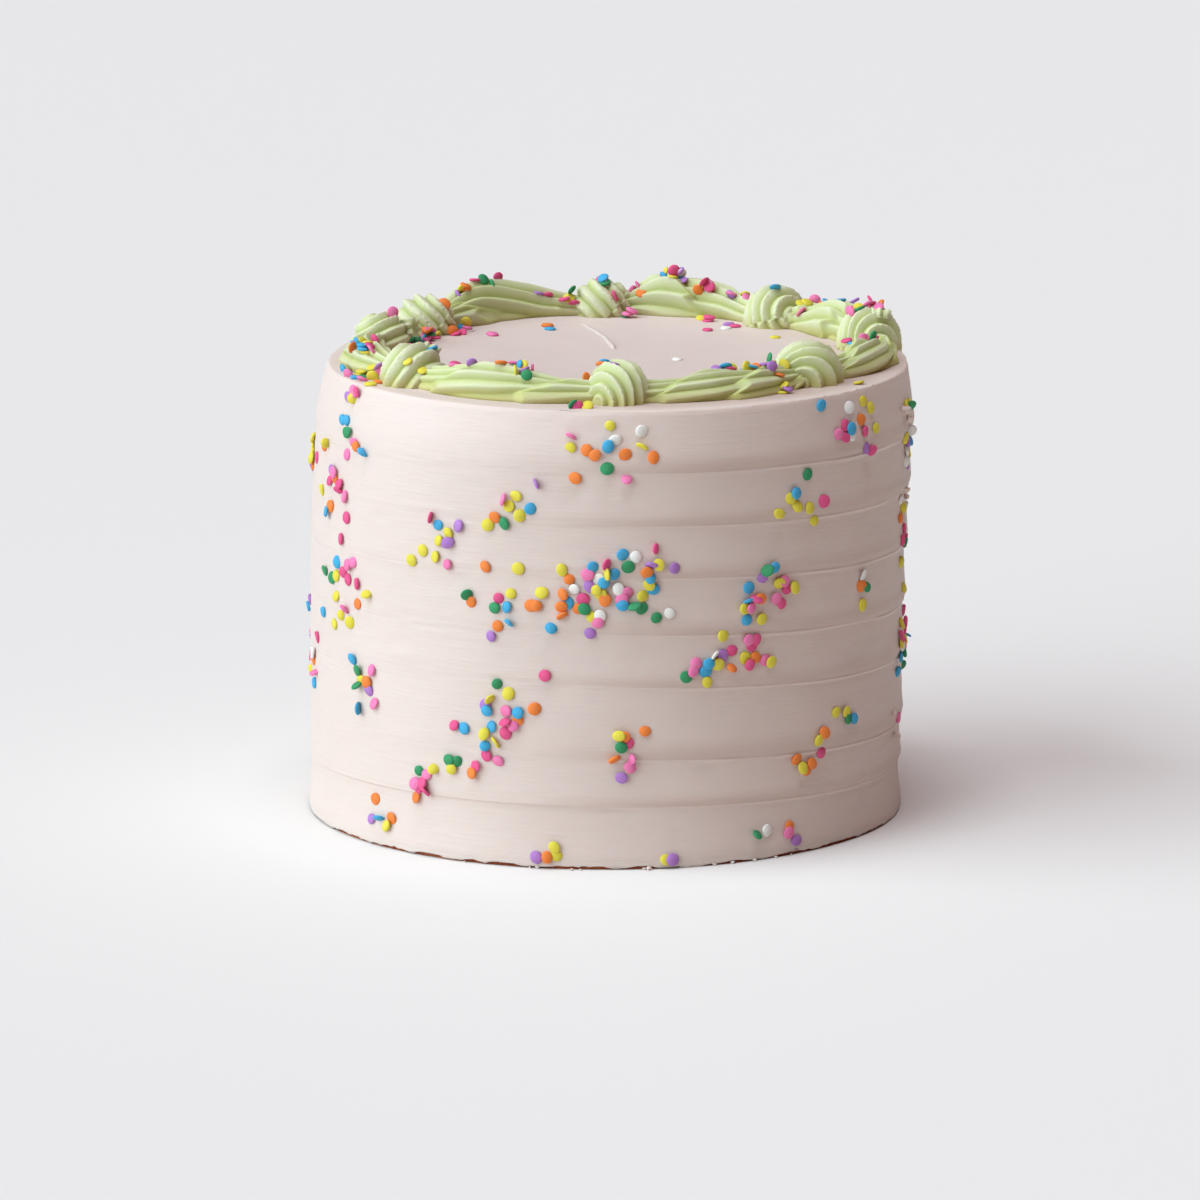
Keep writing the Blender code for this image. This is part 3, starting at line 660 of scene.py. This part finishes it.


# Painted shade: the green is painted darker and deeper in the grooves between ridges and paler on the crests,
# following the crest attribute.
RIDGE_SHADE_STOPS = [(0.0, colour(177, 185, 109)), (1.0, colour(209, 209, 177)), (0.45, colour(193, 199, 142))]
# Painted shade: the green cream is painted a darker golden tone in the lowest few millimetres above the top,
# at the foot of each piece where it meets the top.
BASE_SHADE_TONE = colour(188, 172, 92)
BASE_SHADE_LEVELS = (CAKE_HEIGHT + 0.5 * MM, CAKE_HEIGHT + 5.0 * MM)
BASE_SHADE_SHARE = 0.6
green_cream = Finish("green_buttercream", Roughness=0.45, Specular_IOR_Level=0.35, Subsurface_Weight=0.35,
                     Subsurface_Radius=(0.8, 1.0, 0.35), Subsurface_Scale=2.5 * MM)
crest = green_cream.add("ShaderNodeAttribute", {"attribute_name": "crest"}, output="Fac")
cream_mottle = green_cream.add("ShaderNodeTexNoise", {}, Vector=green_cream.place(), Scale=160.0, Detail=3.0)
cream_grain = green_cream.add("ShaderNodeTexNoise", {}, Vector=green_cream.place(), Scale=1500.0, Detail=3.0)
on_ridge = crest ** 0.8 + 0.25 * cream_mottle - 0.12
ridge_shade_tone = green_cream.add("ShaderNodeValToRGB", {"stops": RIDGE_SHADE_STOPS}, on_ridge)
# Painted shade: deep is the share of the darker golden tone, highest at the foot of each piece.
level = green_cream.add("ShaderNodeSeparateXYZ", {}, green_cream.place(), output="Z")
deep = green_cream.add("ShaderNodeMapRange", {}, level, *BASE_SHADE_LEVELS, BASE_SHADE_SHARE, 0.0)
green_cream.paint(green_cream.blend(deep, ridge_shade_tone, BASE_SHADE_TONE))
green_cream.dull(0.40 + 0.2 * cream_mottle)
green_cream.emboss(cream_grain, 0.12 * MM, 0.5)
border_pieces = []
for number in range(1, len(SWIRLS) + 1):
    piece = show(f"piped_swirl_{number}", make_swirl(number), green_cream)
    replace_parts(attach(piece, "root"), f"swirl_{number}")
    border_pieces.append(piece)


# Garlands: the same green cream drawn along the rim between the swirls, thickest part way along.
# The hand surged as it went, so each rope is a row of overlapping lobes, with the star's ridges along them.
# First swirl, last swirl, thickest place between them, height and half-width there, outward bow
GARLANDS = [
    (1, 2, 0.42, 10.6 * MM, 8.8 * MM, 1.0 * MM), (2, 3, 0.50, 8.8 * MM, 8.8 * MM, 1.0 * MM),
    (3, 4, 0.50, 9.4 * MM, 8.6 * MM, 3.0 * MM), (4, 5, 0.45, 12.2 * MM, 8.6 * MM, 1.0 * MM),
    (5, 6, 0.66, 13.4 * MM, 8.8 * MM, 4.0 * MM), (6, 7, 0.64, 13.6 * MM, 8.8 * MM, 3.0 * MM),
    (8, 1, 0.50, 9.0 * MM, 8.4 * MM, 2.4 * MM),
]
THIN_HALF_WIDTH = 5.4 * MM
THIN_HEIGHT = 6.4 * MM
TUCK = 0.35
SHOULDER_POWER = 0.85
# Surges of the hand along each garland, and how far its ridges slant
SURGES = [(2.2, 1.1), (2.6, 1.0), (2.0, 0.9), (2.0, 0.6), (2.0, -0.9), (1.2, -1.1), (2.0, 0.5)]
SURGE_DEPTH = 0.26
SURGE_END = 0.14
SURGE_TOP = 1.03
SURGE_STAGGER = 0.13
CREST_LEAD = 0.14
SLANT_TURNS = 1.6
SECTION_RIDGES = 6
GARLAND_DEPTH = 0.15
GARLAND_UNEVEN = 0.14
ROPE_ROUNDNESS = 1.2
GARLAND_STEPS = 150
SECTION_STEPS = 97


def garland_form(number, along, across):
    """A point on a garland, and how near it is to a ridge's crest, lowered towards each lobe's tail as
    painted shade; along and across both run from 0 to 1.
    """
    first, last, thickest, thick_height, thick_half_width, bow = GARLANDS[number - 1]
    start_azimuth, start_distance, start_radius = SWIRLS[first - 1][:3]
    end_azimuth, end_distance, end_radius = SWIRLS[last - 1][:3]
    surges, slant = SURGES[number - 1]
    span = math.radians((end_azimuth - start_azimuth) % 360)
    away = (thickest - along) / thickest if along < thickest else (along - thickest) / (1 - thickest)
    swell = (1 + math.cos(math.pi * away)) / 2
    half_width = THIN_HALF_WIDTH + (thick_half_width - THIN_HALF_WIDTH) * swell
    height = THIN_HEIGHT + (thick_height - THIN_HEIGHT) * swell
    uneven = GARLAND_UNEVEN * noise.noise(Vector((along * 5, across * 2, number * 4.0)))
    turns = SECTION_RIDGES * across + 0.5 + SLANT_TURNS * slant * along + uneven
    crest = star_ridge(turns, ROPE_ROUNDNESS)
    surge = surges * along + slant * (across - 0.5) - CREST_LEAD * crest + SURGE_STAGGER * number + uneven
    surge %= 1.0
    lobe = SURGE_TOP - SURGE_DEPTH * surge * ease(1 - surge, 0.0, SURGE_END)
    turn = math.pi * across
    ridge = lobe * (1 + GARLAND_DEPTH * (crest - 0.5))
    line = start_distance + (end_distance - start_distance) * along + bow * math.sin(math.pi * along)
    start = math.radians(start_azimuth) + TUCK * start_radius / line
    end = math.radians(start_azimuth) + span - TUCK * end_radius / line
    angle = start + (end - start) * along
    reach = line - half_width * math.cos(turn) * ridge
    up = height * math.sin(turn) ** SHOULDER_POWER * ridge if 0 < across < 1 else -SETTLED
    depth = reach * math.sin(angle)
    place = Vector((reach * math.cos(angle) + LEAN, depth, CAKE_HEIGHT + GAP + back_rise(depth) + up))
    # Painted shade: the crest value falls towards the tail of each lobe, where the next lobe overlaps it, so
    # the colour is painted darker there.
    return place, crest * (0.5 + 0.5 * (1 - surge))


def make_garland(number):
    """A tube, open ends capped, whose rings are laid along the rim."""
    form = bmesh.new()
    bmesh.ops.create_cone(form, cap_ends=True, segments=SECTION_STEPS, radius1=1.0, radius2=1.0, depth=1.0)
    lengthwise = [edge for edge in form.edges if abs(edge.verts[0].co.z - edge.verts[1].co.z) > 0.5]
    bmesh.ops.subdivide_edges(form, edges=lengthwise, cuts=GARLAND_STEPS, use_grid_fill=True)
    crest_layer = form.verts.layers.float.new("crest")
    for corner in form.verts:
        along = corner.co.z + 0.5
        share = (math.atan2(corner.co.y, corner.co.x) / (2 * math.pi)) % 1.0
        across = round(share * SECTION_STEPS) % SECTION_STEPS / (SECTION_STEPS - 1)
        corner.co, corner[crest_layer] = garland_form(number, along, across)
    bmesh.ops.recalc_face_normals(form, faces=form.faces)
    if form.calc_volume(signed=True) < 0:
        bmesh.ops.reverse_faces(form, faces=form.faces)
    return form


for number in range(1, len(GARLANDS) + 1):
    piece = show(f"piped_garland_{number}", make_garland(number), green_cream)
    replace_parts(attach(piece, "root"), f"garland_{number}")
    border_pieces.append(piece)


# Confetti: flat round sugar discs in seven colours, the pink in two tones, thrown at the side by hand, where
# they stick in loose clusters. More lie heaped on and between the piped swirls, and a few on the flat top.
DISC_RADIUS = 2.15 * MM
DISC_THICKNESS = 1.0 * MM
DISC_SIDES = 14
DISC_ROUND = 0.36 * MM
STANDING_SHARE = 0.10
LYING_TILT = 24
STANDING_TILT = (48, 70)
TILT_LIFT = 0.45
RIM_CLEARANCE = 2.5 * MM
SCATTER = 0.55
SCATTER_LIMIT = 1.3
DISC_SPACING = 1.8 * MM
PILED_DISTANCE = 1.6 * DISC_RADIUS
PILED_LIFT = 0.7 * DISC_THICKNESS
# How far discs differ in width and thickness, sink into the cream, and stand off it by their tilt
DISC_SIZES = (0.82, 1.08)
DISC_THICKNESSES = (0.8, 1.15)
DISC_SUNK = (0.1, 0.4)
DISC_LIFTS = (0.3, 1.0)
SIDE_SEED, BACK_SEED, TOP_SEED, BORDER_SEED, COLOUR_SEED = 1000, 7, 55, 77, 21
# Clusters on the side: azimuth in degrees, height, half-width and half-height in millimetres, slant, count
SIDE_CLUSTERS = [
    (-89, 140, 17, 10, 0.0, 17), (-42, 142, 17, 13, -0.2, 16), (-49, 116, 13, 10, -0.5, 8),
    (-152, 141, 9, 12, 0.0, 14), (-153, 121, 14, 12, 0.0, 16), (-150, 86, 14, 16, 0.0, 18),
    (-124, 113, 12, 11, 0.4, 12), (-110, 122, 8, 6, 0.3, 10), (-113, 101, 1, 1, 0.0, 1),
    (-83, 105, 9, 6, 0.0, 9), (-109, 89, 11, 12, 0.0, 14), (-94, 91, 14, 10, 0.3, 32),
    (-83, 90, 7, 10, 0.0, 14), (-102, 66, 1, 1, 0.0, 1), (-60, 90, 13, 7, 0.2, 18),
    (-70, 69, 10, 7, 0.0, 14), (-60, 71, 9, 6, 0.0, 10), (-33, 86, 2, 10, 0.0, 4),
    (-13, 134, 4, 15, 0.0, 11), (-13, 98, 4, 18, 0.0, 11), (-12, 50, 4, 22, 0.0, 13),
    (-142, 56, 9, 8, 0.0, 10), (-168, 52, 8, 12, 0.0, 6), (-110, 54, 9, 6, 0.0, 10),
    (-114, 41, 11, 8, 0.5, 18), (-126, 27, 12, 6, 0.4, 12), (-138, 10, 9, 5, 0.0, 6),
    (-86, 45, 5, 13, 0.0, 9), (-39, 45, 6, 6, 0.0, 5), (-46, 33, 7, 9, 0.0, 8),
    (-102, 5, 9, 2, 0.0, 6), (-78, 4, 5, 2, 0.0, 4), (-54, 8, 13, 4, 0.0, 8),
]
# Clusters on the side that is turned away, with the limits of height, half-width, half-height and slant
BACK_CLUSTERS = 15
BACK_AZIMUTHS = (2, 186)
BACK_LIMITS = [(15, 140), (8, 16), (6, 14), (-0.4, 0.4)]
BACK_COUNTS = (8, 18)
# Confetti on the flat top: azimuth in degrees, distance and spread in millimetres, count
TOP_CLUSTERS = [
    (133, 58, 5, 2), (58, 66, 9, 4), (36, 68, 2, 1), (1, 20, 1, 1), (112, 66, 5, 2), (-120, 60, 6, 2),
]
# Confetti on the border, which stick on slopes up to a steepest one and lie more loosely than on the side:
# azimuth in degrees, distance, half-length and half-width in millimetres, count
STEEPEST = 0.15
UPWARD_PULL = 0.8
BORDER_SCATTER_LIMIT = 1.4
BORDER_STANDING_SHARE = 3 * STANDING_SHARE
BORDER_STANDING_TILT = (50, 85)
BORDER_TILT = 28
BORDER_CLUSTERS = [
    (-162, 90, 9, 6, 15), (-155, 88, 8, 8, 9), (-170, 88, 7, 5, 5), (-141, 87, 5, 3, 3), (-141, 77, 4, 2, 2),
    (-126, 87, 3, 2, 1), (-131, 78, 4, 3, 2), (-121, 74, 6, 4, 7), (-113, 81, 7, 4, 10), (-96, 77, 5, 4, 4),
    (-91, 82, 1, 1, 1), (-97, 94, 4, 1, 3), (-73, 73, 3, 2, 3), (-61, 74, 5, 3, 7), (-55, 76, 5, 3, 6),
    (-46, 76, 5, 3, 7), (-50, 84, 5, 2, 5), (-11, 79, 3, 3, 3), (-5, 86, 4, 3, 3), (-31, 94, 1, 1, 1),
    (14, 86, 4, 4, 3), (17, 91, 6, 4, 8), (26, 92, 5, 4, 7), (38, 89, 7, 4, 9), (48, 84, 1, 1, 1),
    (61, 87, 4, 2, 4), (69, 88, 5, 2, 6), (76, 90, 5, 2, 6), (81, 89, 3, 2, 3), (85, 87, 3, 2, 3),
    (101, 86, 3, 3, 4), (92, 83, 4, 4, 5), (87, 79, 3, 3, 3), (66, 78, 5, 2, 3), (119, 89, 5, 2, 5),
    (127, 87, 4, 2, 4), (140, 74, 4, 4, 4), (133, 76, 4, 3, 4), (149, 75, 5, 4, 12), (160, 82, 4, 4, 4),
    (153, 77, 6, 5, 11), (108, 86, 4, 2, 2),
]
# Colour and share of the confetti, and how much paler or deeper a disc is in patches
PALE_SHARE, DEEP_SHARE = 0.18, 0.93
CONFETTI = {
    "hot_pink": ((226, 66, 124), 0.15), "pink": ((240, 112, 168), 0.13), "yellow": ((224, 206, 48), 0.21),
    "orange": ((240, 118, 34), 0.14), "blue": ((46, 158, 208), 0.12), "green": ((30, 134, 76), 0.09),
    "purple": ((168, 108, 188), 0.10), "white": ((240, 236, 228), 0.06),
}


def tree_of(pieces):
    """One ray-cast tree of several objects, which all stand at the origin."""
    joined = bmesh.new()
    for piece in pieces:
        joined.from_mesh(piece.data)
    tree = BVHTree.FromBMesh(joined)
    joined.free()
    return tree


def side_discs(surface):
    """Places, outward directions and tilts of the confetti on the side."""
    kept = []
    back = random.Random(BACK_SEED)
    first, last = BACK_AZIMUTHS
    clusters = list(SIDE_CLUSTERS)
    for index in range(BACK_CLUSTERS):
        azimuth = first + (last - first) * index / (BACK_CLUSTERS - 1)
        measures = [back.uniform(*limits) for limits in BACK_LIMITS]
        clusters.append((azimuth, *measures, back.randint(*BACK_COUNTS)))
    for seed, (azimuth, height, half_width, half_height, slant, count) in enumerate(clusters):
        draw = random.Random(SIDE_SEED + seed)
        for index in range(count):
            across = max(-SCATTER_LIMIT, min(SCATTER_LIMIT, draw.gauss(0, SCATTER))) * half_width * MM
            rise = max(-SCATTER_LIMIT, min(SCATTER_LIMIT, draw.gauss(0, SCATTER))) * half_height * MM
            rise += slant * across
            upright = draw.random() < STANDING_SHARE
            angle = math.radians(azimuth) + across / BASE_RADIUS
            level = min(max(height * MM + rise, DISC_RADIUS + SKIRT_HEIGHT), CAKE_HEIGHT - RIM_CLEARANCE)
            outward = Vector((math.cos(angle), math.sin(angle), 0.0))
            outside = Vector((lean(level), 0.0, level)) + 2 * BASE_RADIUS * outward
            here = surface.ray_cast(outside, -outward)[0]
            tilt = draw.uniform(*STANDING_TILT) if upright else draw.uniform(-LYING_TILT, LYING_TILT)
            near = [(here - other).length for other, facing, turned in kept]
            if all(apart > DISC_SPACING for apart in near):
                piled = any(apart < PILED_DISTANCE for apart in near)
                kept.append((here + outward * piled * PILED_LIFT, outward, math.radians(tilt)))
    return kept


def top_discs():
    """Places of the few confetti that lie on the flat top, clear of the border."""
    draw = random.Random(TOP_SEED)
    found = []
    for azimuth, distance, spread, count in TOP_CLUSTERS:
        for index in range(count):
            angle = math.radians(azimuth)
            here = Vector((distance * math.cos(angle) + draw.uniform(-spread, spread),
                           distance * math.sin(angle) + draw.uniform(-spread, spread), 0.0)) * MM
            here += Vector((LEAN, 0.0, CAKE_HEIGHT + back_rise(here.y)))
            found.append((here, Vector((0.0, 0.0, 1.0)), 0.0))
    return found


def border_discs(surface):
    """Confetti dropped on the border: each lies on what it falls on, turned to that slope."""
    draw = random.Random(BORDER_SEED)
    found = []
    for azimuth, distance, half_length, half_width, count in BORDER_CLUSTERS:
        for index in range(count):
            angle = math.radians(azimuth) + draw.gauss(0, SCATTER) * half_length / distance
            aside = max(-BORDER_SCATTER_LIMIT, min(BORDER_SCATTER_LIMIT, draw.gauss(0, SCATTER)))
            reach = (distance + aside * half_width) * MM
            over = Vector((reach * math.cos(angle) + LEAN, reach * math.sin(angle), 2 * CAKE_HEIGHT))
            here, facing, face, fallen = surface.ray_cast(over, Vector((0.0, 0.0, -1.0)))
            if here is None or facing.z < STEEPEST:
                continue
            piled = sum((here - other).length < DISC_RADIUS for other, slope, turned in found)
            facing = (facing + Vector((0, 0, UPWARD_PULL))).normalized()
            upright = draw.random() < BORDER_STANDING_SHARE
            tilt = draw.uniform(*BORDER_STANDING_TILT) if upright else draw.gauss(0, BORDER_TILT)
            found.append((here + facing * piled * DISC_THICKNESS, facing, math.radians(tilt)))
    return found


def disc_template():
    """A flat round disc with its two rims rounded off."""
    form = bmesh.new()
    bmesh.ops.create_cone(form, cap_ends=True, segments=DISC_SIDES, radius1=DISC_RADIUS, radius2=DISC_RADIUS,
                          depth=DISC_THICKNESS)
    rims = [edge for edge in form.edges
            if abs(edge.verts[0].co.z - edge.verts[1].co.z) < 0.1 * DISC_THICKNESS]
    bmesh.ops.bevel(form, geom=rims, offset=DISC_ROUND, offset_type="OFFSET", segments=1, profile=0.5,
                    affect="EDGES", material=-1)
    mesh = bpy.data.meshes.new("confetti_disc")
    form.to_mesh(mesh)
    form.free()
    return mesh


def sugar(name, shown):
    """Pressed sugar: matt and grainy, its colour a little uneven."""
    made = Finish(f"confetti_{name}", Roughness=0.7, Specular_IOR_Level=0.3)
    grains = made.add("ShaderNodeTexNoise", {}, Vector=made.place(), Scale=1800.0, Detail=3.0)
    patches = made.add("ShaderNodeTexNoise", {}, Vector=made.place(), Scale=220.0, Detail=2.0)
    pale = tuple(round(part + (255 - part) * PALE_SHARE) for part in shown)
    deep = tuple(round(part * DEEP_SHARE) for part in shown)
    made.paint(made.blend(0.5 * grains + 0.5 * patches, colour(*deep), colour(*pale)))
    made.emboss(grains, 0.15 * MM, 0.7)
    return made


template = disc_template()
side_surface = tree_of([body])
all_discs = side_discs(side_surface) + top_discs() + border_discs(tree_of([body, *border_pieces]))
draw = random.Random(COLOUR_SEED)
names = list(CONFETTI)
weights = [CONFETTI[name][1] for name in names]
forms = {name: bmesh.new() for name in names}
for place, outward, tilt in all_discs:
    name = draw.choices(names, weights)[0]
    form = forms[name]
    start = len(form.verts)
    form.from_mesh(template)
    stand = outward.to_track_quat("Z", "Y").to_matrix().to_4x4()
    sunk = draw.uniform(*DISC_SUNK) * DISC_THICKNESS
    lift = sunk + TILT_LIFT * draw.uniform(*DISC_LIFTS) * DISC_RADIUS * abs(math.sin(tilt))
    spin = Matrix.Rotation(draw.uniform(0, 2 * math.pi), 4, "Z") @ Matrix.Rotation(tilt, 4, "X")
    sizes = [draw.uniform(*DISC_SIZES), draw.uniform(*DISC_SIZES), draw.uniform(*DISC_THICKNESSES)]
    size = Matrix.Diagonal((*sizes, 1.0))
    form.verts.ensure_lookup_table()
    bmesh.ops.transform(form, matrix=Matrix.Translation(place + outward * lift) @ stand @ spin @ size,
                        verts=form.verts[start:])
for name in names:
    piece = show(f"confetti_{name}", forms[name], sugar(name, CONFETTI[name][0]))
    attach(piece, "root")
    "confetti_pink" if name == "hot_pink" else f"confetti_{name}"


low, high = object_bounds()
sizes = {"cad": [list(cad_low), list(cad_high)], "visual": [list(low), list(high)]}
